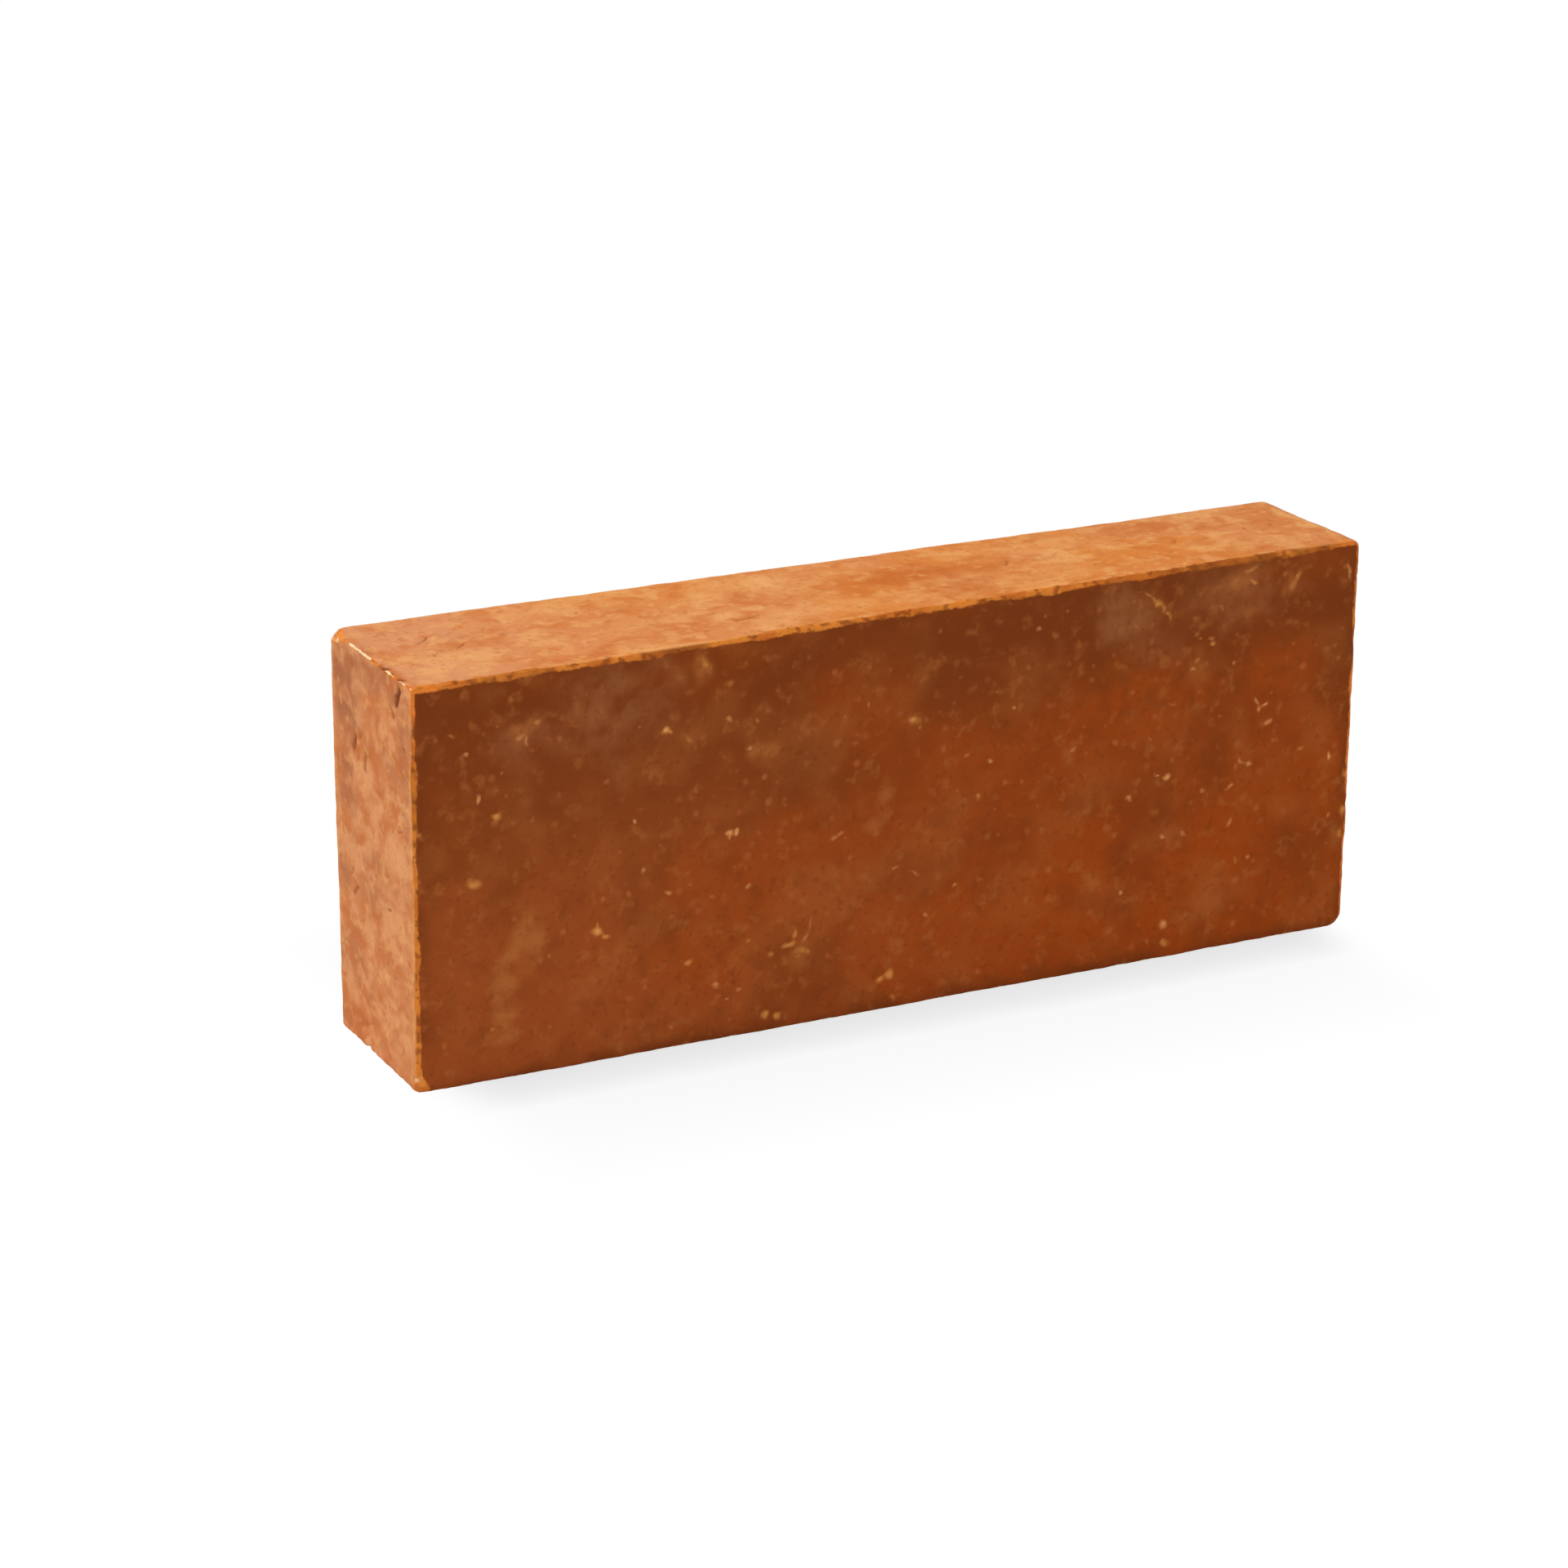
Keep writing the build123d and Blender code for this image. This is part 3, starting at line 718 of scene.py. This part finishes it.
class Recipe:
    """A material written as a chain of sums: each method adds a node and gives back its result."""

    def __init__(self, tree):
        self.tree = tree

    def node(self, kind, inputs, **settings):
        """A node with its settings, each input linked to a socket or set to a value."""
        made = self.tree.nodes.new("ShaderNode" + kind)
        for name, value in settings.items():
            setattr(made, name, value)
        for name, value in inputs.items():
            self.feed(made.inputs[name], value)
        return made

    def feed(self, socket, value):
        """Link a socket into an input, or set its value."""
        if isinstance(value, bpy.types.NodeSocket):
            self.tree.links.new(value, socket)
        else:
            socket.default_value = value

    def painted(self, name, output="Fac"):
        """What was painted on the skin."""
        return self.node("Attribute", {}, attribute_name=name).outputs[output]

    def sum(self, operation, *values):
        """Arithmetic on two or three numbers."""
        return self.node("Math", dict(enumerate(values)), operation=operation).outputs[0]

    def ramp(self, value, start, end, strength=1.0):
        """0 at the start, rising smoothly to the strength at the end."""
        inputs = {"Value": value, "From Min": start, "From Max": end, "To Max": strength}
        return self.node("MapRange", inputs, interpolation_type="SMOOTHSTEP").outputs[0]

    def mix(self, share, under, over):
        """One colour laid over another."""
        return self.node("Mix", {0: share, 6: under, 7: over}, data_type="RGBA").outputs[2]

    def noise(self, place, width, octaves):
        """Noise of 0 to 1 with features about one width across."""
        return self.node("TexNoise", {"Vector": place, "Scale": 1 / width, "Detail": octaves}).outputs[0]

    def most(self, values):
        """The largest of several numbers."""
        largest, *others = values
        for value in others:
            largest = self.sum("MAXIMUM", largest, value)
        return largest

    def frayed(self, value, fray, reach):
        """A number pushed up and down by noise, to fray the outline that is drawn with it."""
        return self.sum("MULTIPLY_ADD", fray, reach, value)

    def outlined(self, value, fray, reach, start, full, strength):
        """0 outside a frayed outline, rising smoothly to the strength inside it."""
        return self.ramp(self.frayed(value, fray, reach), start, full, strength)

    def grained(self, colour, noises, grain):
        """A colour with fine grain laid over it."""
        for grain_colour, name, start, full, strength in grain:
            share = self.ramp(noises[name], start, full, strength)
            colour = self.mix(share, colour, grain_colour)
        return colour

    def specks(self, spot, fray):
        """Small soft spots strewn at random over a plane, most of them tiny and faint."""
        inputs = {"Vector": spot, "Scale": 1 / SPECK_SPACING}
        cells = self.node("TexVoronoi", inputs, voronoi_dimensions="2D")
        chances = self.node("SeparateColor", {0: cells.outputs["Color"]}).outputs
        reach = self.sum("MULTIPLY_ADD", chances[0], SPECK_RADIUS / SPECK_SPACING, SPECK_LEAST)
        fade = self.sum("MULTIPLY", self.sum("POWER", chances[1], SPECK_POWER), SPECK_STRENGTH)
        return self.ramp(self.frayed(cells.outputs["Distance"], fray, SPECK_FRAY), reach, 0.0, fade)


def bed_look(recipe, place, noises, fray):
    """The painted colour of the beds with its grain, specks and flecks."""
    colour = recipe.grained(recipe.painted("bed", "Color"), noises, BED_GRAIN)
    along, _, up = recipe.node("SeparateXYZ", {0: place}).outputs
    spot = recipe.node("CombineXYZ", {0: along, 1: up}).outputs[0]
    colour = recipe.mix(recipe.specks(spot, fray), colour, BED_SPECK)
    for name, fleck_colour in (("ochre_share", FLECK_OCHRE), ("peach_share", FLECK_PEACH)):
        share = recipe.outlined(recipe.painted(name), fray, *FLECK_OUTLINE)
        colour = recipe.mix(share, colour, fleck_colour)
    return colour


def fired_clay():
    """The fired clay: red-brown beds, orange sides, ochre rims, cream crests of painted highlight, and
    hollows darkened with painted shade.
    """
    material = bpy.data.materials.new("fired_clay")
    material.use_nodes = True
    recipe = Recipe(material.node_tree)
    place = recipe.painted("place", "Vector")
    noises = {"fine": recipe.noise(place, *FINE_NOISE), "coarse": recipe.noise(place, *COARSE_NOISE)}
    fray = recipe.sum("SUBTRACT", noises["fine"], NOISE_MEAN)

    across = recipe.node("SeparateXYZ", {0: place}).outputs[1]
    below_bed = recipe.sum("SUBTRACT", high[1], recipe.sum("ABSOLUTE", across))
    on_bed = recipe.outlined(below_bed, fray, *BED_OUTLINE)
    side = recipe.grained(recipe.painted("side", "Color"), noises, SIDE_GRAIN)
    colour = recipe.mix(on_bed, side, bed_look(recipe, place, noises, fray))
    bare = recipe.outlined(recipe.painted("rim_share"), fray, *RIM_OUTLINE)
    colour = recipe.mix(bare, colour, recipe.painted("rim", "Color"))
    # Painted highlight: cream along the crests of some edges
    highlight_crest = recipe.outlined(recipe.painted("highlight_crest_share"), fray, *HIGHLIGHT_CREST_OUTLINE)
    colour = recipe.mix(highlight_crest, colour, HIGHLIGHT_CREAM)
    # Painted shade: the strokes darkened by how deep they are
    hollow = recipe.ramp(recipe.painted("hollow"), *HOLLOW_SHADE_RAMP)
    colour = recipe.mix(hollow, colour, HOLLOW_SHADE)

    bump_share = recipe.sum("MULTIPLY_ADD", on_bed, BED_BUMP_SHARE - 1, 1.0)
    height = recipe.sum("MULTIPLY", recipe.sum("ADD", noises["fine"], noises["coarse"]), bump_share)
    bump = recipe.node("Bump", {"Height": height, "Strength": BUMP_STRENGTH, "Distance": BUMP_DEPTH * MM})
    shader = material.node_tree.nodes["Principled BSDF"]
    recipe.feed(shader.inputs["Base Color"], colour)
    recipe.feed(shader.inputs["Normal"], bump.outputs[0])
    shader.inputs["Roughness"].default_value = ROUGHNESS
    shader.inputs["Specular IOR Level"].default_value = SHINE
    return material


def seen_share(recipe):
    """1 for the rays of the camera, and for those of mirrors and glass, which show the same backdrop."""
    path = recipe.node("LightPath", {}).outputs
    return recipe.most([path[f"Is {kind} Ray"] for kind in ("Camera", "Glossy", "Transmission")])


def shadow_level(recipe):
    """1 on the open floor, and less along the two beds, where the brick stands in the light's way."""
    place = recipe.node("NewGeometry", {}).outputs["Position"]
    along, across, _ = recipe.node("SeparateXYZ", {0: place}).outputs
    lean = recipe.sum("MULTIPLY", recipe.sum("SIGN", across), -SHADOW_LEAN)
    towards_brick = recipe.node("CombineXYZ", {0: -SHADOW_TURN, 1: lean, 2: SHADOW_RISE}).outputs[0]
    level = 1.0
    for reach, share in SHADOWS:
        inputs = {"Distance": reach, "Normal": towards_brick}
        open_share = recipe.node("AmbientOcclusion", inputs, samples=SHADOW_RAYS).outputs["AO"]
        shade = recipe.sum("SUBTRACT", 1.0, open_share)
        for end, span in ((low[0], SHADOW_LEFT), (high[0], SHADOW_RIGHT)):
            shade = recipe.sum("MULTIPLY", shade, recipe.ramp(along, *((end + far) * MM for far in span)))
        level = recipe.sum("SUBTRACT", level, recipe.sum("MULTIPLY", shade, share))
    return level


def floor():
    """A pale floor: white to the camera apart from the brick's shadow, and plain to the light."""
    bpy.ops.mesh.primitive_plane_add(size=FLOOR_SIZE)
    made = bpy.context.object
    made.name = "floor"
    material = bpy.data.materials.new("floor")
    material.use_nodes = True
    tree = material.node_tree
    tree.nodes.clear()
    recipe = Recipe(tree)
    glow = recipe.node("Emission", {"Strength": shadow_level(recipe)}).outputs[0]
    plain = recipe.node("BsdfDiffuse", {"Color": FLOOR_COLOUR}).outputs[0]
    shown = recipe.node("MixShader", {0: seen_share(recipe), 1: plain, 2: glow}).outputs[0]
    recipe.node("OutputMaterial", {"Surface": shown})
    made.data.materials.append(material)


def sky():
    """An even sky: white to the camera, and softer as a light."""
    world = bpy.data.worlds.new("sky")
    bpy.context.scene.world = world
    world.use_nodes = True
    world.node_tree.nodes.clear()
    recipe = Recipe(world.node_tree)
    light = recipe.node("Background", {"Color": WHITE, "Strength": SKY_STRENGTH}).outputs[0]
    white = recipe.node("Background", {"Color": WHITE}).outputs[0]
    shown = recipe.node("MixShader", {0: seen_share(recipe), 1: light, 2: white}).outputs[0]
    recipe.node("OutputWorld", {"Surface": shown})


def lamp():
    """One large soft lamp, off the left end and above."""
    light = bpy.data.lights.new("lamp", "AREA")
    light.energy = LAMP_POWER
    light.size = LAMP_SIZE
    made = bpy.data.objects.new("lamp", light)
    climb = math.radians(LAMP_ELEVATION)
    away = Vector((-math.cos(climb), 0, math.sin(climb)))
    made.location = away * LAMP_DISTANCE
    made.rotation_euler = away.to_track_quat("Z", "Y").to_euler()
    bpy.context.scene.collection.objects.link(made)


def camera():
    """The photograph's view: turned, raised and rolled about the foot, then slid in its own plane."""
    turn, climb, roll = (math.radians(angle) for angle in (CAMERA_AZIMUTH, CAMERA_ELEVATION, CAMERA_ROLL))
    right = Vector((math.cos(turn), math.sin(turn), 0))
    back = Vector((math.sin(turn) * math.cos(climb), -math.cos(turn) * math.cos(climb), math.sin(climb)))
    up = back.cross(right)
    rolled_right = math.cos(roll) * right + math.sin(roll) * up
    rolled_up = math.cos(roll) * up - math.sin(roll) * right
    eye = rolled_right * CAMERA_SIDEWAYS + rolled_up * CAMERA_RISE + back * CAMERA_DISTANCE
    lens = bpy.data.cameras.new("camera")
    lens.lens = CAMERA_LENS
    lens.sensor_width = CAMERA_SENSOR
    made = bpy.data.objects.new("camera", lens)
    axes = Matrix((rolled_right, rolled_up, back)).transposed()
    made.matrix_world = Matrix.Translation(eye) @ axes.to_4x4()
    bpy.context.scene.collection.objects.link(made)
    bpy.context.scene.camera = made


brick = sculpted_skin()
brick.data.materials.append(fired_clay())
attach(brick, "root")
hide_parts(NODE)

floor()
sky()
lamp()
camera()
bpy.context.scene.view_settings.view_transform = "Standard"
